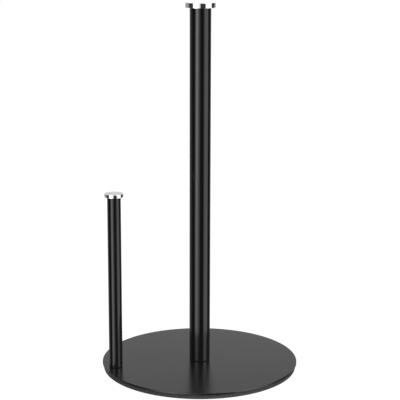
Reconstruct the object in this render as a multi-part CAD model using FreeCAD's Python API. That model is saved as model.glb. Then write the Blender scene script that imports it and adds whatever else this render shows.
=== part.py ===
import FreeCAD, Part

import math
import os

# Paper towel holder: a thin steel disc on an anti-slip pad, a tall post in its
# centre that the roll drops over, and a short side bar near the rim that the
# free sheet is torn against. Both posts are steel tubes with a tapped insert
# in the foot, held from below by a button head screw and a washer, and both
# are closed at the top by a turned chrome cap pressed into a nylon bush.
#
# Millimetres. +Z is up, the origin is on the table under the middle of the
# disc, and the side bar stands on the -X side of the main post.

V = FreeCAD.Vector
UP = V(0, 0, 1)

# ---- driving dimensions ------------------------------------------------

# base disc
plate_r = 90.0            # half of the 180 mm disc
plate_t = 1.5             # steel sheet
plate_top_round = 0.4     # deburred and coated upper edge
plate_bottom_round = 0.2
pad_r = 88.8              # the pad stops 1.2 mm inside the plate's edge
pad_t = 4.0               # closed cell foam
pad_bottom_round = 0.5
pad_access_r = 7.0        # holes in the pad that take the screw heads

# where the side bar stands
side_bar_x = -79.3
side_bar_y = 0.0

# M5 screws, 0.8 mm pitch, with plain washers
screw_r = 2.5
screw_length = 12.0       # under the head
screw_end_chamfer = 0.5
head_r = 4.75
head_h = 2.75
head_land_h = 0.35        # straight edge below the dome of the head
head_flat_r = 2.6         # flat on top of the dome, round the socket
socket_across_flats = 3.0
socket_depth = 1.6
washer_r = 5.0
washer_t = 1.0
washer_edge = 0.12
clearance_hole_r = 2.65   # in the plate, the washers and the foot rings
thread_gap = 0.05         # running clearance of insert on screw, per side

# fits inside a tube: the glue line round an insert or a bush
glue_line = 0.02

# foot rings, between each tube and the plate
ring_t = 0.6
ring_edge = 0.15

# Each post: tube over its coat, rounded ends, insert, bush and cap.
posts = {
    "main_post": {
        "x": 0.0, "y": 0.0,
        "tube_r": 9.5, "wall": 1.0, "tube_length": 323.5, "end_round": 0.4,
        "insert_length": 20.0, "bush_length": 14.0,
        "ring_r": 8.9,
        "cap_r": 13.35, "cap_t": 4.4, "cap_round": 0.25,
        "spigot_r": 4.0, "spigot_length": 11.0,
    },
    "side_bar": {
        "x": side_bar_x, "y": side_bar_y,
        "tube_r": 6.1, "wall": 1.0, "tube_length": 158.0, "end_round": 0.35,
        "insert_length": 16.0, "bush_length": 10.0,
        "ring_r": 5.6,
        "cap_r": 8.45, "cap_t": 3.0, "cap_round": 0.22,
        "spigot_r": 2.5, "spigot_length": 7.5,
    },
}

# ---- levels above the table --------------------------------------------

plate_bottom_z = pad_t
plate_top_z = plate_bottom_z + plate_t
washer_bottom_z = plate_bottom_z - washer_t
tube_bottom_z = plate_top_z + ring_t


# ---- shape helpers -----------------------------------------------------

def disc(r, z0, z1, x=0.0, y=0.0):
    """A solid cylinder of radius r from level z0 up to level z1."""
    return Part.makeCylinder(r, z1 - z0, V(x, y, z0), UP)


def circle_edges(solid, r, z, x=0.0, y=0.0):
    """The full circular edges of radius r that lie at level z round (x, y)."""
    found = []
    for edge in solid.Edges:
        curve = edge.Curve
        if not isinstance(curve, Part.Circle):
            continue
        off_axis = math.hypot(curve.Center.x - x, curve.Center.y - y)
        level = abs(curve.Center.z - z)
        if abs(curve.Radius - r) < 1e-6 and level < 1e-6 and off_axis < 1e-6:
            found.append(edge)
    return found


def round_rim(solid, size, r, z, x=0.0, y=0.0):
    """The solid with its circular edge at that radius and level rounded."""
    return solid.makeFillet(size, circle_edges(solid, r, z, x, y))


def bevel_rim(solid, size, r, z, x=0.0, y=0.0):
    """The solid with its circular edge at that radius and level bevelled."""
    return solid.makeChamfer(size, circle_edges(solid, r, z, x, y))


def hexagon_prism(across_flats, z0, z1, x, y):
    """A hexagonal prism about the vertical axis through (x, y)."""
    corner_r = across_flats / math.sqrt(3.0)
    corners = []
    for i in range(7):
        angle = math.radians(60.0 * i)
        px = x + corner_r * math.cos(angle)
        py = y + corner_r * math.sin(angle)
        corners.append(V(px, py, z0))
    face = Part.Face(Part.makePolygon(corners))
    return face.extrude(V(0, 0, z1 - z0))


# ---- base --------------------------------------------------------------

def base_plate():
    """The steel disc, with one clearance hole under each post."""
    plate = disc(plate_r, plate_bottom_z, plate_top_z)
    plate = round_rim(plate, plate_top_round, plate_r, plate_top_z)
    plate = round_rim(plate, plate_bottom_round, plate_r, plate_bottom_z)
    for post in posts.values():
        hole = disc(clearance_hole_r, plate_bottom_z - 1, plate_top_z + 1,
                    post["x"], post["y"])
        plate = plate.cut(hole)
    return plate


def anti_slip_pad():
    """The foam disc under the plate, cut out round both screw heads."""
    pad = disc(pad_r, 0.0, pad_t)
    pad = round_rim(pad, pad_bottom_round, pad_r, 0.0)
    for post in posts.values():
        pad = pad.cut(disc(pad_access_r, -1.0, pad_t + 1, post["x"], post["y"]))
    return pad


# ---- fasteners ---------------------------------------------------------

def button_screw(x, y):
    """A button head screw, head down, its head bearing on the washer."""
    bearing_z = washer_bottom_z
    head_bottom_z = bearing_z - head_h
    shank_top_z = bearing_z + screw_length

    # the dome is an arc from the head's straight edge to the flat on top
    edge = V(head_r, 0, bearing_z - head_land_h)
    flat = V(head_flat_r, 0, head_bottom_z)
    chord = flat - edge
    outward = V(-chord.z, 0, chord.x).normalize()
    if outward.x < 0:
        outward = outward * -1
    crown = (edge + flat) * 0.5 + outward * (0.16 * chord.Length)

    outline = Part.Wire([
        Part.makeLine(V(0, 0, head_bottom_z), flat),
        Part.Arc(flat, crown, edge).toShape(),
        Part.makeLine(edge, V(head_r, 0, bearing_z)),
        Part.makeLine(V(head_r, 0, bearing_z), V(screw_r, 0, bearing_z)),
        Part.makeLine(V(screw_r, 0, bearing_z),
                      V(screw_r, 0, shank_top_z - screw_end_chamfer)),
        Part.makeLine(V(screw_r, 0, shank_top_z - screw_end_chamfer),
                      V(screw_r - screw_end_chamfer, 0, shank_top_z)),
        Part.makeLine(V(screw_r - screw_end_chamfer, 0, shank_top_z),
                      V(0, 0, shank_top_z)),
        Part.makeLine(V(0, 0, shank_top_z), V(0, 0, head_bottom_z)),
    ])
    screw = Part.Face(outline).revolve(V(0, 0, 0), UP, 360)
    screw.translate(V(x, y, 0))
    socket = hexagon_prism(socket_across_flats, head_bottom_z - 1,
                           head_bottom_z + socket_depth, x, y)
    return screw.cut(socket)


def washer(x, y):
    """A plain washer between the screw head and the plate."""
    ring = disc(washer_r, washer_bottom_z, plate_bottom_z, x, y)
    ring = bevel_rim(ring, washer_edge, washer_r, washer_bottom_z, x, y)
    return ring.cut(disc(clearance_hole_r, 0.0, plate_top_z, x, y))


# ---- the pieces of one post --------------------------------------------

def foot_ring(post):
    """A thin nylon ring that keeps the tube off the coated plate."""
    x, y = post["x"], post["y"]
    ring = disc(post["ring_r"], plate_top_z, tube_bottom_z, x, y)
    ring = bevel_rim(ring, ring_edge, post["ring_r"], tube_bottom_z, x, y)
    return ring.cut(disc(clearance_hole_r, 0.0, tube_bottom_z + 1, x, y))


def tube(post):
    """The tube of a post, with a small round on each outer end."""
    x, y, r = post["x"], post["y"], post["tube_r"]
    top_z = tube_bottom_z + post["tube_length"]
    body = disc(r, tube_bottom_z, top_z, x, y)
    body = round_rim(body, post["end_round"], r, tube_bottom_z, x, y)
    body = round_rim(body, post["end_round"], r, top_z, x, y)
    return body.cut(disc(r - post["wall"], tube_bottom_z - 1, top_z + 1, x, y))


def foot_insert(post):
    """The turned steel insert in the tube's foot that the screw goes into."""
    x, y = post["x"], post["y"]
    r = post["tube_r"] - post["wall"] - glue_line
    top_z = tube_bottom_z + post["insert_length"]
    body = disc(r, tube_bottom_z, top_z, x, y)
    body = bevel_rim(body, 0.5, r, top_z, x, y)
    bore_r = screw_r + thread_gap
    body = body.cut(disc(bore_r, tube_bottom_z - 1, top_z + 1, x, y))
    return bevel_rim(body, 0.4, bore_r, tube_bottom_z, x, y)


def top_bush(post):
    """The nylon bush in the tube's top that grips the cap's spigot."""
    x, y = post["x"], post["y"]
    r = post["tube_r"] - post["wall"] - glue_line
    top_z = tube_bottom_z + post["tube_length"]
    bottom_z = top_z - post["bush_length"]
    body = disc(r, bottom_z, top_z, x, y)
    body = bevel_rim(body, 0.5, r, bottom_z, x, y)
    return body.cut(disc(post["spigot_r"], bottom_z - 1, top_z + 1, x, y))


def cap(post):
    """The chrome cap: a flat disc that overhangs the tube, on a spigot."""
    x, y, r = post["x"], post["y"], post["cap_r"]
    bottom_z = tube_bottom_z + post["tube_length"]
    top_z = bottom_z + post["cap_t"]
    head = disc(r, bottom_z, top_z, x, y)
    head = round_rim(head, post["cap_round"], r, top_z, x, y)
    head = round_rim(head, post["cap_round"], r, bottom_z, x, y)
    spigot_bottom_z = bottom_z - post["spigot_length"]
    spigot = disc(post["spigot_r"] - glue_line, spigot_bottom_z, bottom_z, x, y)
    spigot = bevel_rim(spigot, 0.4, post["spigot_r"] - glue_line,
                       spigot_bottom_z, x, y)
    return head.fuse(spigot).removeSplitter()


# ---- every node, one STEP each -----------------------------------------

nodes = {
    "base_plate": base_plate(),
    "anti_slip_pad": anti_slip_pad(),
}
for name, post in posts.items():
    nodes[name + "_screw"] = button_screw(post["x"], post["y"])
    nodes[name + "_washer"] = washer(post["x"], post["y"])
    nodes[name + "_foot_ring"] = foot_ring(post)
    nodes[name + "_tube"] = tube(post)
    nodes[name + "_foot_insert"] = foot_insert(post)
    nodes[name + "_top_bush"] = top_bush(post)
    nodes[name + "_cap"] = cap(post)

os.makedirs("parts", exist_ok=True)
for name, shape in nodes.items():
    shape = shape if shape.ShapeType == "Solid" else shape.Solids[0]
    shape.exportStep(os.path.join("parts", name + ".step"))
    box = shape.BoundBox
    print(f"{name}: valid {shape.isValid()}, {shape.Volume / 1000:.3f} cm3, "
          f"z {box.ZMin:.2f} to {box.ZMax:.2f}")
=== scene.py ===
# %% [markdown]
# # Paper towel holder: setting up
#
# The holder is a thin black steel disc on a foam pad, with a tall post for the
# roll, a short side bar, and a flat chrome cap on each. The tubes and the
# small parts come from the CAD model with the right shapes, so Blender's work
# is their finish, the light, and the pieces whose real surface is finer than
# the CAD solid: the coated disc's round edge, the foam pad, the mirror-bright
# caps, and the threads of the screws.

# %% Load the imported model
import math

import bmesh
import bpy
import numpy as np
from mathutils import Matrix, Vector


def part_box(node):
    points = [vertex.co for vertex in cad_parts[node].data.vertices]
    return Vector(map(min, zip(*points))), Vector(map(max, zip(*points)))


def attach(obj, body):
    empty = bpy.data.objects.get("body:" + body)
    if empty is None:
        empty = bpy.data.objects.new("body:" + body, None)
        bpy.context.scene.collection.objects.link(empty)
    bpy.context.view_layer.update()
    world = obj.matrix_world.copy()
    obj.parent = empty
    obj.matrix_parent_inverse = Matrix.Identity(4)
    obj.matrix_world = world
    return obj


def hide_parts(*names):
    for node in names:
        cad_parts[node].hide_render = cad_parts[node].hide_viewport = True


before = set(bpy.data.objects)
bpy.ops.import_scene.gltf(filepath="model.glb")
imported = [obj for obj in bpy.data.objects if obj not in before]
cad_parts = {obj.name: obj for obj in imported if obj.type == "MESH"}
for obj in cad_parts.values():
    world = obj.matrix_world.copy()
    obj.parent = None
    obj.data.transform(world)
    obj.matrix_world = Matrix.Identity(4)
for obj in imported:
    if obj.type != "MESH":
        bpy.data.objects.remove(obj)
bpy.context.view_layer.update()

# %% [markdown]
# ## The camera
#
# A long lens a little over a metre away keeps both posts nearly upright. The
# camera stands above the caps and looks down by about twelve degrees, so the
# disc shows as a flat ellipse and the caps show mostly their rims.

# %% Place the camera
CAMERA_AZIMUTH = math.radians(-15.2)    # round the post, from looking along +Y
CAMERA_DISTANCE = 1.1203                # from the post's axis, on the floor
CAMERA_HEIGHT = 0.4057
CAMERA_PITCH = math.radians(12.53)      # downwards
CAMERA_ROLL = math.radians(0.15)
LENS_MM = 114.0

toward_camera = Vector((math.sin(CAMERA_AZIMUTH), -math.cos(CAMERA_AZIMUTH), 0))
camera_right = Vector((math.cos(CAMERA_AZIMUTH), math.sin(CAMERA_AZIMUTH), 0))

camera_data = bpy.data.cameras.new("camera")
camera_data.lens = LENS_MM
camera_data.sensor_width = 36.0
camera = bpy.data.objects.new("camera", camera_data)
bpy.context.scene.collection.objects.link(camera)
camera.matrix_world = (
    Matrix.Translation(toward_camera * CAMERA_DISTANCE + Vector((0, 0, CAMERA_HEIGHT)))
    @ Matrix.Rotation(CAMERA_AZIMUTH, 4, "Z")
    @ Matrix.Rotation(math.pi / 2 - CAMERA_PITCH, 4, "X")
    @ Matrix.Rotation(CAMERA_ROLL, 4, "Z")
)
bpy.context.scene.camera = camera
bpy.context.scene.view_settings.view_transform = "Standard"
print("camera at", [round(v, 3) for v in camera.location])

# %% [markdown]
# ## Helpers for node trees
#
# Every material, and the light, is a small tree of nodes. A few helpers keep
# each tree readable. One adds a node and fills in its sockets by name, one
# fills them in order, and two open a node group and place it in a tree.

# %% Add a node and fill in its sockets
def add(tree, kind, settings=None, **sockets):
    """A new node of that kind. settings are its properties, and sockets are
    values or links for its inputs, with _ for a space in the input's name."""
    node = tree.nodes.new(kind)
    for key, value in (settings or {}).items():
        setattr(node, key, value)
    for key, value in sockets.items():
        feed(tree, node.inputs[key.replace("_", " ")], value)
    return node


def feed(tree, socket, value):
    """Links an output to the socket, or sets the socket to a plain value."""
    if isinstance(value, bpy.types.NodeSocket):
        tree.links.new(value, socket)
    else:
        socket.default_value = value


def in_order(tree, kind, settings, *values):
    """The outputs of a new node whose inputs take the values in order."""
    node = add(tree, kind, settings)
    for socket, value in zip(node.inputs, values):
        feed(tree, socket, value)
    return node.outputs


def math_node(tree, operation, *values):
    """The result of one Math node on up to three values or links."""
    return in_order(tree, "ShaderNodeMath", {"operation": operation}, *values)[0]


def vector_math(tree, operation, *values):
    """The outputs of one Vector Math node: its Vector, then its Value."""
    return in_order(tree, "ShaderNodeVectorMath", {"operation": operation},
                    *values)


print("node helpers:", ", ".join(f.__name__ for f in (
    add, feed, in_order, math_node, vector_math)))

# %% Open a group, place a group
def open_group(name, inputs, outputs):
    """An empty shader group. inputs maps a name to (kind, default)."""
    group = bpy.data.node_groups.new(name, "ShaderNodeTree")
    for key, (kind, default) in inputs.items():
        made = group.interface.new_socket(key, in_out="INPUT", socket_type=kind)
        made.default_value = default
    for key, kind in outputs.items():
        group.interface.new_socket(key, in_out="OUTPUT", socket_type=kind)
    entry = group.nodes.new("NodeGroupInput")
    result = group.nodes.new("NodeGroupOutput")
    return group, entry.outputs, result.inputs


def place_group(tree, group, **sockets):
    """The group as a node in another tree, with its own values."""
    return add(tree, "ShaderNodeGroup", {"node_tree": group}, **sockets).outputs


NUMBER = "NodeSocketFloat"
VECTOR = "NodeSocketVector"
print("group helpers:", open_group.__name__, place_group.__name__)

# %% [markdown]
# ## The light
#
# Black gloss and chrome show hardly any colour of their own. What one sees on
# them is the room: tall soft panels left and right of the camera draw the
# bright stripes down the posts, the dark gaps between the panels draw the
# black stripes, and a plain backdrop behind fills the flat disc. The panels
# could be area lights, but a panel that is a smooth patch of the sky is
# quicker, has no noise, and its edges can be as soft as wanted. So the light
# is a group, one soft panel, placed several times in the world.

# %% One soft panel of light, as a group
def build_panel():
    """Brightness of one panel in a direction: a smooth step up and a smooth
    step down in azimuth, times the same pair in elevation, times strength."""
    group, given, out = open_group(
        "soft_panel",
        {
            "Azimuth": (NUMBER, 0.0), "Elevation": (NUMBER, 0.0),
            "Left": (NUMBER, -20.0), "Right": (NUMBER, 20.0),
            "Left Softness": (NUMBER, 5.0), "Right Softness": (NUMBER, 5.0),
            "Bottom": (NUMBER, -30.0), "Top": (NUMBER, 60.0),
            "Bottom Softness": (NUMBER, 10.0), "Top Softness": (NUMBER, 10.0),
            "Strength": (NUMBER, 1.0),
        },
        {"Light": NUMBER},
    )

    def step(value, edge, softness, start, end):
        low = math_node(group, "SUBTRACT", given[edge], given[softness])
        high = math_node(group, "ADD", given[edge], given[softness])
        node = add(group, "ShaderNodeMapRange",
                   {"interpolation_type": "SMOOTHSTEP"},
                   Value=given[value], From_Min=low, From_Max=high,
                   To_Min=start, To_Max=end)
        return node.outputs["Result"]

    across = math_node(group, "MULTIPLY",
                       step("Azimuth", "Left", "Left Softness", 0.0, 1.0),
                       step("Azimuth", "Right", "Right Softness", 1.0, 0.0))
    upright = math_node(group, "MULTIPLY",
                        step("Elevation", "Bottom", "Bottom Softness", 0.0, 1.0),
                        step("Elevation", "Top", "Top Softness", 1.0, 0.0))
    shape = math_node(group, "MULTIPLY", across, upright)
    feed(group, out["Light"], math_node(group, "MULTIPLY", shape, given["Strength"]))
    return group


soft_panel = build_panel()
print("soft_panel has", len(soft_panel.nodes), "nodes")

# %% List the panels
# Azimuth is in degrees from the camera, positive to the camera's right. Each
# row: left, its softness, right, its softness, then bottom, top and their
# softnesses in elevation, and the strength.
PANELS = {
    "left_fill": (-58, 4, -1, 4, -50, 75, 10, 10, 0.75),
    "left_key": (-49, 11, -22, 13, -16, 75, 26, 10, 3.95),
    "right_fill": (43, 9, 91, 8, -50, 75, 10, 10, 1.65),
    "right_key": (44, 10, 76, 12, 6, 75, 9, 10, 4.4),
    "backdrop_left": (-400, 8, -98, 8, -80, 75, 10, 10, 0.28),
    "backdrop_right": (130, 8, 400, 8, -80, 75, 10, 10, 0.25),
    "behind_left": (-400, 8, -140, 14, -80, 75, 10, 10, 0.08),
    "behind_right": (140, 14, 400, 8, -80, 75, 10, 10, 0.11),
    "horizon_left": (-400, 8, -98, 8, 1, 9, 3, 5, 0.70),
    "horizon_right": (128, 8, 400, 8, 1, 9, 3, 5, 0.70),
    "backdrop_top_left": (-400, 8, -98, 8, 10, 21, 5, 6, 0.27),
    "backdrop_top_right": (128, 8, 400, 8, 10, 21, 5, 6, 0.27),
    "front_dome": (-106, 12, 138, 12, 12, 75, 5, 10, 0.24),
    "overhead": (-400, 5, 400, 5, 66, 200, 12, 10, 0.85),
    "from_the_floor": (-400, 5, 400, 5, -200, -35, 5, 8, 0.10),
}
ROOM_GLOW = 0.032         # everywhere, between the panels too
print("brightest panel:", max(PANELS, key=lambda name: PANELS[name][-1]))

# %% Build the world from its panels
world = bpy.data.worlds.new("studio")
bpy.context.scene.world = world
world.use_nodes = True
sky = world.node_tree
sky.nodes.clear()

direction = add(sky, "ShaderNodeTexCoord").outputs["Generated"]
ahead = vector_math(sky, "DOT_PRODUCT", direction, toward_camera)["Value"]
aside = vector_math(sky, "DOT_PRODUCT", direction, camera_right)["Value"]
height = add(sky, "ShaderNodeSeparateXYZ", Vector=direction).outputs["Z"]

azimuth = math_node(sky, "DEGREES", math_node(sky, "ARCTAN2", aside, ahead))
elevation = math_node(sky, "DEGREES", math_node(sky, "ARCSINE", height))

light = ROOM_GLOW
for name, row in PANELS.items():
    (left, left_soft, right, right_soft,
     bottom, top, bottom_soft, top_soft, strength) = map(float, row)
    made = place_group(
        sky, soft_panel, Azimuth=azimuth, Elevation=elevation,
        Left=left, Left_Softness=left_soft,
        Right=right, Right_Softness=right_soft,
        Bottom=bottom, Bottom_Softness=bottom_soft,
        Top=top, Top_Softness=top_soft, Strength=strength)
    light = math_node(sky, "ADD", light, made["Light"])

room = add(sky, "ShaderNodeBackground", Color=light)
plain_white = add(sky, "ShaderNodeBackground", Color=(1, 1, 1, 1))
seen = add(sky, "ShaderNodeLightPath").outputs["Is Camera Ray"]
both = in_order(sky, "ShaderNodeMixShader", {}, seen, room.outputs[0],
                plain_white.outputs[0])[0]
add(sky, "ShaderNodeOutputWorld", Surface=both)
print("panels in the world:", len(PANELS))

# %% [markdown]
# ## The floor
#
# A plain pale floor, as white as paper on a light table. It glows by itself
# just enough to be white, because a floor much brighter than white would eat
# into the outline of a thin dark post. The posts don't mirror it either: it
# would hide the panels' stripes, so only the camera sees it. Seen from below
# it is clear, so that the holder's underside can be looked at.

# %% Make the floor
FLOOR_HALF = 4.0
FLOOR_GAP = 0.0002        # below the pad
FLOOR_GLOW = 0.985
FLOOR_GREY = 0.05

floor_mesh = bpy.data.meshes.new("floor")
corners = [(-1, -1), (1, -1), (1, 1), (-1, 1)]
floor_mesh.from_pydata(
    [(x * FLOOR_HALF, y * FLOOR_HALF, -FLOOR_GAP) for x, y in corners], [],
    [(0, 1, 2, 3)])
floor = bpy.data.objects.new("floor", floor_mesh)
bpy.context.scene.collection.objects.link(floor)
for ray in ("visible_glossy", "visible_diffuse", "visible_transmission",
            "visible_shadow"):
    setattr(floor, ray, False)

paper = bpy.data.materials.new("pale_floor")
paper.use_nodes = True
tree = paper.node_tree
tree.nodes.clear()
matte = add(tree, "ShaderNodeBsdfDiffuse", Color=(*[FLOOR_GREY] * 3, 1))
glow = add(tree, "ShaderNodeEmission", Color=(1, 1, 1, 1), Strength=FLOOR_GLOW)
lit = in_order(tree, "ShaderNodeAddShader", {}, matte.outputs[0],
               glow.outputs[0])[0]
clear = add(tree, "ShaderNodeBsdfTransparent").outputs[0]
behind = add(tree, "ShaderNodeNewGeometry").outputs["Backfacing"]
sheet = in_order(tree, "ShaderNodeMixShader", {}, behind, lit, clear)[0]
add(tree, "ShaderNodeOutputMaterial", Surface=sheet)
floor_mesh.materials.append(paper)
print("floor:", 2 * FLOOR_HALF, "m square, its top at", -FLOOR_GAP)

# %% [markdown]
# ## Effects that several finishes share
#
# Three small effects come back on nearly every piece. A fine grain, which is
# the orange peel of powder coat, the skin of foam or the satin of a moulding.
# Handling marks, which are the soft smears that hands and cloths leave and
# that only show as a change of gloss. And turning rings, the very fine
# circles that a lathe leaves round the axis of a turned piece.

# %% Fine grain, as a group
def build_grain():
    """Height and tone from two noises, a coarse one and a fine one at three
    and a half times its scale, mixed by Fineness and centred on a half."""
    group, given, out = open_group(
        "fine_grain",
        {"Scale": (NUMBER, 500.0), "Fineness": (NUMBER, 0.5)},
        {"Height": NUMBER, "Tone": NUMBER},
    )
    place = add(group, "ShaderNodeTexCoord").outputs["Object"]
    coarse = add(group, "ShaderNodeTexNoise", Vector=place,
                 Scale=given["Scale"], Detail=3.0, Roughness=0.55)
    finer = math_node(group, "MULTIPLY", given["Scale"], 3.5)
    fine = add(group, "ShaderNodeTexNoise", Vector=place, Scale=finer,
               Detail=2.0, Roughness=0.6)
    mixed = add(group, "ShaderNodeMix", {"data_type": "FLOAT"})
    feed(group, mixed.inputs[0], given["Fineness"])
    feed(group, mixed.inputs[2], coarse.outputs["Fac"])
    feed(group, mixed.inputs[3], fine.outputs["Fac"])
    feed(group, out["Height"], mixed.outputs[0])
    tone = add(group, "ShaderNodeMapRange", Value=mixed.outputs[0],
               From_Min=0.3, From_Max=0.7, To_Min=0.0, To_Max=1.0)
    feed(group, out["Tone"], tone.outputs["Result"])
    return group


fine_grain = build_grain()
print("fine_grain has", len(fine_grain.nodes), "nodes")

# %% Handling marks, as a group
def build_marks():
    """A mask of soft smears: a slow noise that is stretched and warped by
    another, taken above a threshold, times a faint fine breakup."""
    group, given, out = open_group(
        "handling_marks",
        {"Scale": (NUMBER, 12.0), "Amount": (NUMBER, 1.0)},
        {"Mask": NUMBER},
    )
    place = add(group, "ShaderNodeTexCoord").outputs["Object"]
    slow = add(group, "ShaderNodeTexNoise", Vector=place,
               Scale=given["Scale"], Detail=4.0, Roughness=0.5, Distortion=1.2)
    smear = add(group, "ShaderNodeMapRange",
                {"interpolation_type": "SMOOTHSTEP"},
                Value=slow.outputs["Fac"], From_Min=0.5, From_Max=0.72,
                To_Min=0.0, To_Max=1.0)
    breakup = add(group, "ShaderNodeTexNoise", Vector=place, Scale=900.0,
                  Detail=2.0)
    broken = math_node(group, "MULTIPLY", smear.outputs["Result"],
                       breakup.outputs["Fac"])
    feed(group, out["Mask"],
         math_node(group, "MULTIPLY", broken, given["Amount"]))
    return group


handling_marks = build_marks()
print("handling_marks has", len(handling_marks.nodes), "nodes")

# %% Turning rings, as a group
def build_rings():
    """Rings round an upright axis: the sine of the distance from the axis
    over the ring spacing, weakened and strengthened by a slow noise."""
    group, given, out = open_group(
        "turning_rings",
        {"Axis": (VECTOR, (0.0, 0.0, 0.0)), "Spacing": (NUMBER, 0.0002)},
        {"Height": NUMBER},
    )
    place = add(group, "ShaderNodeTexCoord").outputs["Object"]
    shifted = vector_math(group, "SUBTRACT", place, given["Axis"])["Vector"]
    flat = vector_math(group, "MULTIPLY", shifted, (1, 1, 0))["Vector"]
    reach = vector_math(group, "LENGTH", flat)["Value"]
    turns = math_node(group, "DIVIDE", reach, given["Spacing"])
    wave = math_node(group, "SINE", math_node(group, "MULTIPLY", turns, math.tau))
    uneven = add(group, "ShaderNodeTexNoise", Vector=place, Scale=600.0)
    feed(group, out["Height"],
         math_node(group, "MULTIPLY", wave, uneven.outputs["Fac"]))
    return group


turning_rings = build_rings()
print("turning_rings has", len(turning_rings.nodes), "nodes")

# %% Open a material with one Principled shader
def open_material(name, **sockets):
    """A material with a Principled shader, whose constants are set here."""
    material = bpy.data.materials.new(name)
    material.use_nodes = True
    tree = material.node_tree
    tree.nodes.clear()
    shader = add(tree, "ShaderNodeBsdfPrincipled", **sockets)
    add(tree, "ShaderNodeOutputMaterial", Surface=shader.outputs[0])
    return material, tree, shader


def vary(tree, mask, low, high):
    """A value that goes from low to high as the mask goes from 0 to 1."""
    return add(tree, "ShaderNodeMapRange", Value=mask, To_Min=low,
               To_Max=high).outputs["Result"]


def tint(tree, mask, dark, pale):
    """A colour that goes from dark to pale as the mask goes from 0 to 1."""
    node = add(tree, "ShaderNodeMix", {"data_type": "RGBA"})
    feed(tree, node.inputs[0], mask)
    feed(tree, node.inputs[6], (*dark, 1))
    feed(tree, node.inputs[7], (*pale, 1))
    return node.outputs[2]


def emboss(tree, shader, height, depth):
    """Height as a bump of that depth in metres, into the shader's normal."""
    bump = add(tree, "ShaderNodeBump", Strength=1.0, Distance=depth,
               Height=height)
    feed(tree, shader.inputs["Normal"], bump.outputs["Normal"])


print("material helpers:", ", ".join(f.__name__ for f in (
    open_material, vary, tint, emboss)))

# %% [markdown]
# ## Black powder coat
#
# The disc and both tubes are coated with the same satin black powder, baked
# to a smooth skin. Its own colour is nearly nothing. Its gloss is that of a
# plastic, so the disc, seen at a low angle, turns grey with the backdrop,
# while the posts, seen head on, stay black between the stripes. The disc was
# coated lying flat and came out a touch less glossy than the tubes.

# %% Make the coat, once for the tubes and once for the disc
def powder_coat(name, gloss_low, gloss_high, peel_depth):
    """Near-black skin: roughness from gloss_low to gloss_high with the
    handling marks, and an orange peel bump of peel_depth metres."""
    material, tree, shader = open_material(name, IOR=1.5)
    grain = place_group(tree, fine_grain, Scale=650.0, Fineness=0.3)
    marks = place_group(tree, handling_marks, Scale=14.0, Amount=1.0)
    feed(tree, shader.inputs["Base Color"],
         tint(tree, grain["Tone"], (0.0024, 0.0024, 0.0025),
              (0.0042, 0.0042, 0.0043)))
    feed(tree, shader.inputs["Roughness"],
         vary(tree, marks["Mask"], gloss_low, gloss_high))
    emboss(tree, shader, grain["Height"], peel_depth)
    return material


tube_coat = powder_coat("tube_coat", 0.15, 0.24, 2.0e-6)
disc_coat = powder_coat("disc_coat", 0.235, 0.31, 3.0e-6)
print("coats:", tube_coat.name, disc_coat.name)

# %% [markdown]
# ## Chrome, zinc, nylon
#
# The caps are turned steel with bright chrome, so they are close to a mirror
# and carry only the finest rings. The screws and washers are zinc plated,
# which is paler and cloudy. The foot rings and bushes are black nylon, dull
# and slightly translucent at the skin, so they never go quite as black as the
# coat.

# %% Make the bright metals
def turned_metal(name, axis, colour, dark, gloss, spacing, ring_depth):
    """Metal with turning rings round an upright axis and a cloudy tone."""
    material, tree, shader = open_material(name, Metallic=1.0)
    rings = place_group(tree, turning_rings, Axis=axis, Spacing=spacing)
    marks = place_group(tree, handling_marks, Scale=55.0, Amount=1.0)
    feed(tree, shader.inputs["Base Color"], tint(tree, marks["Mask"], colour, dark))
    feed(tree, shader.inputs["Roughness"],
         vary(tree, marks["Mask"], gloss, gloss + 0.10))
    emboss(tree, shader, rings["Height"], ring_depth)
    return material


def axis_of(node):
    """The middle of a CAD node's box, as a point on its upright axis."""
    low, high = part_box(node)
    return ((low.x + high.x) / 2, (low.y + high.y) / 2, 0.0)


main_axis = axis_of("main_post_tube")
side_axis = axis_of("side_bar_tube")
CHROME = (0.93, 0.93, 0.94)
CHROME_DIM = (0.86, 0.86, 0.87)
ZINC = (0.62, 0.64, 0.66)
ZINC_DIM = (0.50, 0.52, 0.55)
STEEL = (0.48, 0.47, 0.46)
STEEL_DIM = (0.38, 0.37, 0.36)

chrome_main = turned_metal("chrome_main", main_axis, CHROME, CHROME_DIM,
                           0.05, 0.00022, 1.5e-7)
chrome_side = turned_metal("chrome_side", side_axis, CHROME, CHROME_DIM,
                           0.05, 0.00022, 1.5e-7)
zinc_main = turned_metal("zinc_main", main_axis, ZINC, ZINC_DIM,
                         0.26, 0.0003, 1.0e-6)
zinc_side = turned_metal("zinc_side", side_axis, ZINC, ZINC_DIM,
                         0.26, 0.0003, 1.0e-6)
steel_main = turned_metal("turned_steel_main", main_axis, STEEL, STEEL_DIM,
                          0.30, 0.00035, 2.0e-6)
steel_side = turned_metal("turned_steel_side", side_axis, STEEL, STEEL_DIM,
                          0.30, 0.00035, 2.0e-6)
print("axes of the turned metals:", main_axis, side_axis)

# %% Make the nylon
nylon, tree, shader = open_material("black_nylon", IOR=1.53,
                                    Specular_IOR_Level=0.3)
grain = place_group(tree, fine_grain, Scale=900.0, Fineness=0.6)
feed(tree, shader.inputs["Base Color"],
     tint(tree, grain["Tone"], (0.003, 0.003, 0.003), (0.006, 0.006, 0.006)))
feed(tree, shader.inputs["Roughness"], vary(tree, grain["Tone"], 0.45, 0.60))
emboss(tree, shader, grain["Height"], 8.0e-6)
print("nylon:", len(tree.nodes), "nodes")

# %% Give each CAD node its finish
def finish_node(node, material):
    """Puts one material on the whole of a CAD node."""
    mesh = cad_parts[node].data
    mesh.materials.clear()
    mesh.materials.append(material)


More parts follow.
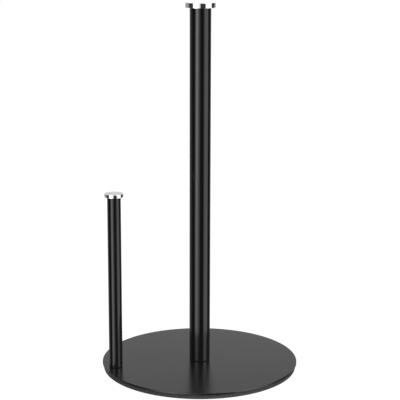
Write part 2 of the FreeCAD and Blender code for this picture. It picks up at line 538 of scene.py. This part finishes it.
for post, zinc, steel in (("main_post", zinc_main, steel_main),
                          ("side_bar", zinc_side, steel_side)):
    finishes = {"tube": tube_coat, "washer": zinc, "foot_insert": steel,
                "foot_ring": nylon, "top_bush": nylon}
    for part, material in finishes.items():
        finish_node(f"{post}_{part}", material)
    print(post, "finished:", ", ".join(finishes))

# %% [markdown]
# ## Helpers for new surfaces
#
# The pieces that follow are grids: a table of points, one row per
# step along the piece's profile and one column per step round its axis.
# Worked out with numpy, a whole table comes from one formula. What is left is
# to say which four points make a face, which a second table does.

# %% Join a table of points with faces
def grid_faces(index):
    """Quads between neighbouring rows and columns of a table of point
    numbers. The columns close on themselves, the rows don't."""
    here, below = index[:-1], index[1:]
    quads = np.stack([here, np.roll(here, -1, axis=1),
                      np.roll(below, -1, axis=1), below], axis=-1)
    return quads.reshape(-1, 4)


def cap_faces(ring, pole):
    """Triangles from a closed ring of point numbers to one pole point."""
    return np.stack([ring, np.full_like(ring, pole), np.roll(ring, -1)], axis=-1)


print("faces of a table of 3 rows and 4 columns:",
      len(grid_faces(np.arange(12).reshape(3, 4))))

# %% Make a piece from points and faces
def make_piece(name, points, faces, material, body, sharp_degrees=40):
    """A mesh from the points and faces, smooth but for the edges sharper
    than sharp_degrees, riding on its body. Faces are turned outwards."""
    mesh = bpy.data.meshes.new(name)
    mesh.from_pydata(points.tolist(), [], [row for part in faces
                                           for row in part.tolist()])
    work = bmesh.new()
    work.from_mesh(mesh)
    bmesh.ops.recalc_face_normals(work, faces=work.faces)
    if work.calc_volume(signed=True) < 0:
        bmesh.ops.reverse_faces(work, faces=work.faces)
    loose = sum(1 for edge in work.edges if len(edge.link_faces) != 2)
    volume = work.calc_volume(signed=True)
    work.to_mesh(mesh)
    work.free()
    mesh.shade_smooth()
    mesh.set_sharp_from_angle(angle=math.radians(sharp_degrees))
    mesh.materials.append(material)
    piece = bpy.data.objects.new(name, mesh)
    bpy.context.scene.collection.objects.link(piece)
    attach(piece, body)
    print(name, len(mesh.polygons), "faces,", loose, "open edges,",
          round(volume * 1e9, 1), "cubic mm")
    return piece

# %% [markdown]
# ## A disc with two holes
#
# The steel disc and the foam pad under it are the same kind of shape: a thin
# disc with one hole in the middle and one near its edge, below the side bar.
# A boolean could cut the holes, but leaves long thin triangles. Here each is
# one closed profile, top face, edge, bottom face and the wall of the middle
# hole, carried round the axis. The side hole is off that axis, so a small
# window is left out of the grid on top and below, and each window is filled
# with a ring that runs from the round hole to the window's frame.

# %% Work out the rings and the windows
DISC_COLUMNS = 480
WINDOW_COLUMNS = 10       # on each side of the side hole
WINDOW_RING = 6           # the window starts at this row of face_rings
WINDOW_SHARES = (0, 0.3, 0.65)      # of the way from the hole to the frame
FACE_ROWS_MM = (11, 20, 32, 45, 58, 70, 74.5, 79.3, 84, 88)


def face_rings(hole_radius):
    """Radii of the rows of a flat face, from the middle hole outwards."""
    return np.array([hole_radius, *(row / 1000 for row in FACE_ROWS_MM)])


def window_frame(index, rows):
    """The point numbers round a window: along its first row, out along one
    side, back along its last row, and in along the other side."""
    middle = DISC_COLUMNS // 2
    span = np.arange(middle - WINDOW_COLUMNS, middle + WINDOW_COLUMNS + 1)
    return np.concatenate([index[rows[0], span], index[rows[1:-1], span[-1]],
                           index[rows[-1], span[::-1]],
                           index[rows[1:-1][::-1], span[0]]])


def fill_windows(points, frames, levels, hole_radius, first_number):
    """Each window row is a blend, from a circle round the side hole to the
    window's frame. The two circles are joined by the wall of the hole."""
    centre = np.array([side_axis[0], side_axis[1], 0])
    away = points[frames[0]] - centre
    bearing = np.arctan2(away[:, 1], away[:, 0])
    circle = centre + hole_radius * np.stack(
        [np.cos(bearing), np.sin(bearing), np.zeros_like(bearing)], axis=-1)
    made, faces, rims = [], [], []
    for frame_points, level in zip(frames, levels):
        start = circle + np.array([0, 0, level])
        share = np.array(WINDOW_SHARES)[:, None, None]
        rings = start * (1 - share) + points[frame_points] * share
        numbers = first_number + np.arange(rings[..., 0].size)
        numbers = numbers.reshape(len(WINDOW_SHARES), -1)
        first_number += numbers.size
        made.append(rings.reshape(-1, 3))
        faces.append(grid_faces(np.concatenate([numbers, frame_points[None]])))
        rims.append(numbers[0])
    faces.append(grid_faces(np.stack(rims)))
    return made, faces


print("side hole", round(abs(side_axis[0]) * 1000, 1), "mm from the middle, in a "
      "window", round(2 * WINDOW_COLUMNS * 360 / DISC_COLUMNS), "degrees wide")

# %% Carry the profile round
def holed_disc(edge_r, edge_z, hole_radius, edge_wave=None):
    """Row (r, z) at angle a is (r cos a, r sin a, z). edge_r and edge_z are
    the profile of the edge, from the top face to the bottom face. edge_wave
    is taken from its radii, one row of it for each row of the edge."""
    rings, top, bottom = face_rings(hole_radius), edge_z[0], edge_z[-1]
    wall = top * np.array([1, 2]) / 3 + bottom * np.array([2, 1]) / 3
    radius = np.concatenate([rings, edge_r, rings[::-1],
                             np.full(2, hole_radius)])
    height = np.concatenate([np.full_like(rings, top), edge_z,
                             np.full_like(rings, bottom), wall])
    angle = np.arange(DISC_COLUMNS) * math.tau / DISC_COLUMNS
    reach = np.repeat(radius[:, None], DISC_COLUMNS, axis=1)
    if edge_wave is not None:
        reach[len(rings):len(rings) + len(edge_r)] -= edge_wave(angle)
    points = np.stack([reach * np.cos(angle), reach * np.sin(angle),
                       np.repeat(height[:, None], DISC_COLUMNS, axis=1)], axis=-1)

    index = np.arange(reach.size).reshape(reach.shape)
    quads = grid_faces(np.concatenate([index, index[:1]]))
    keep = np.ones(reach.shape, bool)
    top_rows = np.arange(WINDOW_RING, len(rings))
    low_start = len(rings) + len(edge_r)
    low_rows = np.arange(low_start, low_start + len(top_rows))
    middle = DISC_COLUMNS // 2
    window = slice(middle - WINDOW_COLUMNS, middle + WINDOW_COLUMNS)
    keep[top_rows[:-1], window] = False
    keep[low_rows[:-1], window] = False

    flat = points.reshape(-1, 3)
    frames = [window_frame(index, top_rows), window_frame(index, low_rows[::-1])]
    made, faces = fill_windows(flat, frames, (top, bottom), hole_radius, len(flat))
    return np.concatenate([flat, *made]), [quads[keep.ravel()], *faces]


square_edge = np.array([0.090, 0.090]), np.array([0.001, 0.0])
print("points of a disc with a square edge:",
      len(holed_disc(*square_edge, hole_radius=0.005)[0]))

# %% Round the edges of a rim
HOLD = 0.00003            # from the end of a round to the row that holds it


def quarter(reach, level, size):
    """A quarter circle of radius size from the flat at that level, out and
    away to the straight edge at reach. Up is away when size is negative."""
    turn = np.linspace(0, np.pi / 2, 8)
    return (reach - abs(size) * (1 - np.sin(turn)),
            level - size * (1 - np.cos(turn)))


def rim_profile(reach, top, bottom, top_round, low_round):
    """Out over the top, round its edge, down the rim, and in under the lower
    edge. A row close beside each end of a round keeps the flats flat."""
    top_r, top_z = quarter(reach, top, top_round)
    low_r, low_z = quarter(reach, bottom, -low_round)
    radius = np.concatenate([[top_r[0] - HOLD], top_r, [reach, reach],
                             low_r[::-1], [low_r[0] - HOLD]])
    height = np.concatenate([[top], top_z, [top_z[-1] - HOLD, low_z[-1] + HOLD],
                             low_z[::-1], [bottom]])
    return radius, height


print("rows over a rim:", len(rim_profile(1.0, 1.0, 0.0, 0.1, 0.1)[0]))

# %% [markdown]
# ## The steel disc
#
# A thick coat of powder rounds the edge of the punched disc, more on top than
# below, and that round is what draws a thin bright line along the rim. Smooth
# shading blends the direction of neighbouring faces, and would make the flats
# beside a round look dished, so a row of points close beside it holds them.

# %% Make the steel disc
plate_low, plate_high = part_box("base_plate")
PLATE_RADIUS = min(-plate_low.x, -plate_low.y, plate_high.x, plate_high.y)
PLATE_TOP_ROUND, PLATE_LOW_ROUND = 0.0004, 0.0002
SCREW_HOLE_RADIUS = 0.00265

rim_r, rim_z = rim_profile(PLATE_RADIUS, plate_high.z, plate_low.z,
                           PLATE_TOP_ROUND, PLATE_LOW_ROUND)
points, faces = holed_disc(rim_r, rim_z, SCREW_HOLE_RADIUS)
disc = make_piece("steel_disc", points, faces, disc_coat, "base")
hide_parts("base_plate")

# %% [markdown]
# ## The foam pad
#
# The pad is closed-cell foam, die cut a little smaller than the steel disc
# and glued under it. Its two holes are wide enough for a key to reach the
# screws. The die presses the foam as it cuts, so the cut edge is slightly
# hollow and a little wavy.

# %% Work out the cut edge of the pad
PAD_RADIUS = 0.0888
PAD_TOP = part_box("anti_slip_pad")[1].z
PAD_EDGE_ROUND = 0.0002
KEY_HOLE_RADIUS = 0.007
EDGE_HOLLOW = 0.00016
EDGE_WAVE = 0.00005
print("pad thickness:", round(PAD_TOP, 5))

drop = np.linspace(0, 1, 9)
round_r, round_z = quarter(PAD_RADIUS, 0.0, -PAD_EDGE_ROUND)
pad_edge_r = np.concatenate([PAD_RADIUS - EDGE_HOLLOW * np.sin(np.pi * drop),
                             round_r[-2::-1]])
pad_edge_z = np.concatenate([PAD_TOP + (PAD_EDGE_ROUND - PAD_TOP) * drop,
                             round_z[-2::-1]])


def cut_wave(angle):
    """A slow wave round the edge, widest where the edge is most hollow."""
    slow = (2 + np.sin(23 * angle + 1) + np.sin(41 * angle + 2)) / 4
    most = np.concatenate([np.sin(np.pi * drop), np.zeros(len(round_r) - 1)])
    return EDGE_WAVE * most[:, None] * slow

# %% [markdown]
# Foam reflects almost nothing, so it is the palest black on the holder. Its
# skin shows cells a few tenths of a millimetre across, and a slow mottling
# where the sheet was foamed less evenly.

# %% Make the foam and the pad
foam, tree, shader = open_material("foam", IOR=1.4, Specular_IOR_Level=0.25,
                                   Roughness=0.9)
place = add(tree, "ShaderNodeTexCoord").outputs["Object"]
cells = add(tree, "ShaderNodeTexVoronoi", {"feature": "F1"}, Vector=place,
            Scale=2600.0)
mottle = place_group(tree, fine_grain, Scale=520.0, Fineness=0.45)
CELL_CONTRAST, MOTTLE_CONTRAST, DARKER = 0.9, 0.75, -0.22
tone = math_node(tree, "MULTIPLY_ADD", cells.outputs["Distance"], CELL_CONTRAST,
                 math_node(tree, "MULTIPLY_ADD", mottle["Tone"],
                           MOTTLE_CONTRAST, DARKER))
feed(tree, shader.inputs["Base Color"],
     tint(tree, tone, (0.012, 0.012, 0.0125), (0.056, 0.056, 0.057)))
pits = math_node(tree, "ADD", cells.outputs["Distance"], mottle["Height"])
emboss(tree, shader, pits, 9.0e-5)

points, faces = holed_disc(pad_edge_r, pad_edge_z, KEY_HOLE_RADIUS, cut_wave)
pad = make_piece("foam_pad", points, faces, foam, "base")
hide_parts("anti_slip_pad")

# %% [markdown]
# ## The chrome caps
#
# Each cap is turned from bar, with a flat top, a straight rim and a stem that
# grips the bush inside its tube. A lathe copies one profile all the way
# round, and so does this surface. Chrome shows every facet, so it has 256
# columns. The profile runs from the middle of the top, over the rim, in under
# it, and down to the middle of the stem's end.

# %% Carry a cap's profile round an upright axis
TURNED_COLUMNS = 256
STEM_BEVEL = 0.0003


def turned(radius, height, centre):
    """Row (r, z) at angle a is the centre plus (r cos a, r sin a, z). A pole
    on the axis closes each end row, at that row's own height."""
    angle = np.arange(TURNED_COLUMNS) * math.tau / TURNED_COLUMNS
    points = np.stack([centre[0] + radius[:, None] * np.cos(angle),
                       centre[1] + radius[:, None] * np.sin(angle),
                       np.repeat(height[:, None], TURNED_COLUMNS, axis=1)], axis=-1)
    flat = points.reshape(-1, 3)
    index = np.arange(len(flat)).reshape(len(radius), TURNED_COLUMNS)
    poles = np.array([[centre[0], centre[1], height[0]],
                      [centre[0], centre[1], height[-1]]])
    return np.concatenate([flat, poles]), [
        grid_faces(index), cap_faces(index[0], len(flat)),
        cap_faces(index[-1], len(flat) + 1)]


def cap_profile(reach, under, edge_round, stem, low, high):
    """Out over the top, down the rim to its underside, and down the stem."""
    rim_r, rim_z = rim_profile(reach, high, under, edge_round, edge_round)
    return (np.concatenate([[reach * 0.5], rim_r,
                            [stem, stem, stem - STEM_BEVEL]]),
            np.concatenate([[high], rim_z, [under, low + STEM_BEVEL, low]]))


print("a turned piece has", TURNED_COLUMNS, "columns")

# %% Make both caps
# radius, edge round and stem radius, then the axis and the chrome
CAPS = {
    "main_post": (0.01335, 0.00025, 0.00398, main_axis, chrome_main),
    "side_bar": (0.00845, 0.00022, 0.00248, side_axis, chrome_side),
}
for post, (reach, edge_round, stem, axis, chrome) in CAPS.items():
    low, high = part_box(post + "_cap")
    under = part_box(post + "_tube")[1].z
    profile = cap_profile(reach, under, edge_round, stem, low.z, high.z)
    points, faces = turned(*profile, axis)
    cap = make_piece(post + "_chrome_cap", points, faces, chrome, post)
    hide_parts(post + "_cap")

# %% [markdown]
# ## The screws
#
# Each post stands on a button head screw that comes up through the disc. Off
# the post, its thread is the first thing one sees, so it is real geometry: a
# surface of one row per small step in height, where the radius also depends
# on the angle. The same table makes the hexagon of the socket, by letting the
# radius follow a hexagon instead of a circle, and the helix of the thread, by
# letting the crest climb one pitch for each turn.

# %% Set the screw's sizes
PITCH = 0.0008
THREAD_RADIUS = 0.0025
THREAD_DEPTH = 0.00049
HEAD_RADIUS = 0.00475
HEAD_HEIGHT = 0.00275
HEAD_FLAT = 0.0026            # radius of the flat round the socket
HEAD_LAND = 0.00035           # of straight edge below the dome
EDGE_BREAK = 0.00008          # on the edge of the bearing face
SOCKET_HALF = 0.0015          # half the width across flats
SOCKET_DEPTH = 0.0016
SOCKET_LEAD = 0.0002          # the bevel where a key goes in
SOCKET_CORNER = 0.00006       # where the walls meet the floor
DRILL_POINT = 0.0003          # the cone left by the drill in the floor
THREAD_RUNOUT = 0.00012       # the fillet between the head and the thread
TIP_CHAMFER = 0.0005
SCREW_SHARP = 38              # degrees
SCREW_COLUMNS = 72
STEPS_PER_PITCH = 12
print("thread depth over pitch:", round(THREAD_DEPTH / PITCH, 2))

# %% Shape the socket and the thread
def hexagon(angle):
    """Reach of a hexagon: half its width over the cosine of the angle from
    the middle of the nearest flat."""
    from_flat = (angle + math.pi / 6) % (math.pi / 3) - math.pi / 6
    return SOCKET_HALF / np.cos(from_flat)


def thread_reach(angle, height, low, high):
    """Reach of the thread: a flattened triangle wave of height over pitch
    less angle over a turn, which fades in at the head and is cut to a cone
    at the tip."""
    phase = (height / PITCH - angle / math.tau) % 1.0
    crest = np.clip((2 * np.abs(phase - 0.5) - 0.18) / 0.66, 0, 1)
    fade = np.clip((height - low) / PITCH, 0, 1)
    reach = THREAD_RADIUS - THREAD_DEPTH * (1 - crest) * fade
    cone = THREAD_RADIUS - TIP_CHAMFER + (high - height)
    return np.minimum(reach, cone)


print("widest and narrowest of the socket:",
      hexagon(np.array([math.pi / 6, 0.0])).round(5))

# %% Work out the surface of a screw
def build_screw(node):
    """Rows from the middle of the socket's floor, up its six walls, over the
    domed head, in under it, along the thread, and to the middle of the tip."""
    low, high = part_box(node)
    centre = axis_of(node)
    angle = (np.arange(SCREW_COLUMNS) * math.tau / SCREW_COLUMNS)[None]
    hexed = hexagon(angle)
    floor_z, bearing_z = low.z + SOCKET_DEPTH, low.z + HEAD_HEIGHT
    rows = [(hexed * 0.96, floor_z), (hexed, floor_z - SOCKET_CORNER),
            (hexed, low.z + SOCKET_LEAD),
            (hexed * 0.4 + SOCKET_HALF * 0.78, low.z + SOCKET_LEAD / 10),
            (np.full_like(hexed, HEAD_FLAT), low.z)]
    turn = np.linspace(0, np.pi / 2, 14)[1:]
    dome_r = HEAD_FLAT + (HEAD_RADIUS - HEAD_FLAT) * np.sin(turn)
    dome_z = low.z + (bearing_z - HEAD_LAND - low.z) * (1 - np.cos(turn))
    rows += [(np.full_like(hexed, r), z) for r, z in zip(dome_r, dome_z)]
    rows += [(np.full_like(hexed, HEAD_RADIUS), bearing_z - EDGE_BREAK),
             (np.full_like(hexed, HEAD_RADIUS - EDGE_BREAK), bearing_z),
             (np.full_like(hexed, THREAD_RADIUS + THREAD_RUNOUT), bearing_z)]
    reach = np.concatenate([np.broadcast_to(r, hexed.shape) for r, z in rows])
    height = np.concatenate([np.full_like(hexed, z) for r, z in rows])

    steps = int(round((high.z - bearing_z) / PITCH * STEPS_PER_PITCH))
    up = np.linspace(bearing_z + THREAD_RUNOUT, high.z, steps)[:, None]
    up = np.repeat(up, SCREW_COLUMNS, axis=1)
    reach = np.concatenate([reach, thread_reach(angle, up, bearing_z, high.z)])
    height = np.concatenate([height, up])

    points = np.stack([centre[0] + reach * np.cos(angle),
                       centre[1] + reach * np.sin(angle), height], axis=-1)
    index = np.arange(reach.size).reshape(reach.shape)
    poles = np.array([[centre[0], centre[1], floor_z + DRILL_POINT],
                      [centre[0], centre[1], high.z]])
    faces = [grid_faces(index), cap_faces(index[0], reach.size),
             cap_faces(index[-1], reach.size + 1)]
    return np.concatenate([points.reshape(-1, 3), poles]), faces


print("columns on each flat of a socket:", SCREW_COLUMNS // 6)

# %% Make both screws
for post, zinc in (("main_post", zinc_main), ("side_bar", zinc_side)):
    points, faces = build_screw(post + "_screw")
    screw = make_piece(post + "_threaded_screw", points, faces, zinc, "base",
                       SCREW_SHARP)
    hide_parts(post + "_screw")
